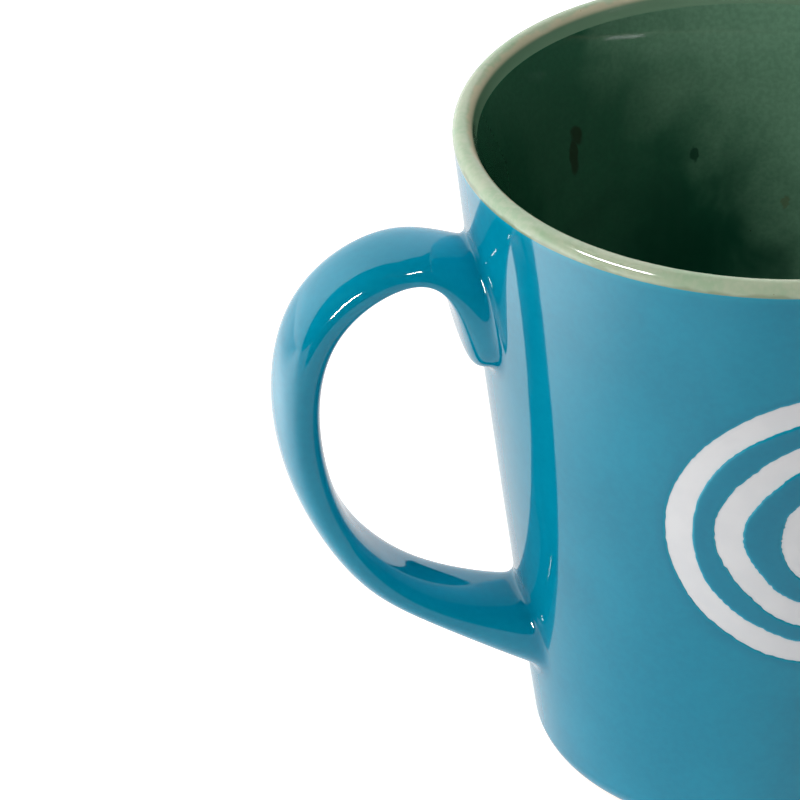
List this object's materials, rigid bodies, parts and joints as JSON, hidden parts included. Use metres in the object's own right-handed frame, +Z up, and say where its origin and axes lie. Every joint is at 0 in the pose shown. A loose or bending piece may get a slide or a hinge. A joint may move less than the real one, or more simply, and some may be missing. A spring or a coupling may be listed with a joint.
{
  "type": "stoneware mug",
  "caption": "Tapered stoneware mug with a rounded strap handle, teal glaze outside, green glaze inside, pale lip and hand-drawn white rings on one side.",
  "frame": {"origin": "centre of the foot ring's resting face, on the cup's axis", "axes": "+Z up along the cup's axis; the handle points along -X; the white rings face -Y"},
  "size_m": [0.1195, 0.092, 0.104],
  "materials": {
    "stoneware_clay": "matte, fired unglazed stoneware",
    "teal_glaze": "high gloss glaze",
    "green_glaze": "high gloss glaze, mottled",
    "celadon_glaze": "gloss glaze, thin over the lip",
    "white_slip": "matte white slip"
  },
  "bodies": {
    "root": {"cup_body": "stoneware_clay", "handle": "stoneware_clay", "upper_joint_slip": "stoneware_clay", "lower_joint_slip": "stoneware_clay", "outer_glaze": "teal_glaze", "handle_glaze": "teal_glaze", "liner_glaze": "green_glaze", "rim_glaze": "celadon_glaze", "foot_glaze": "teal_glaze", "ring_outer": "white_slip", "ring_middle": "white_slip", "ring_inner": "white_slip", "ring_dot": "white_slip"}
  },
  "joints": []
}
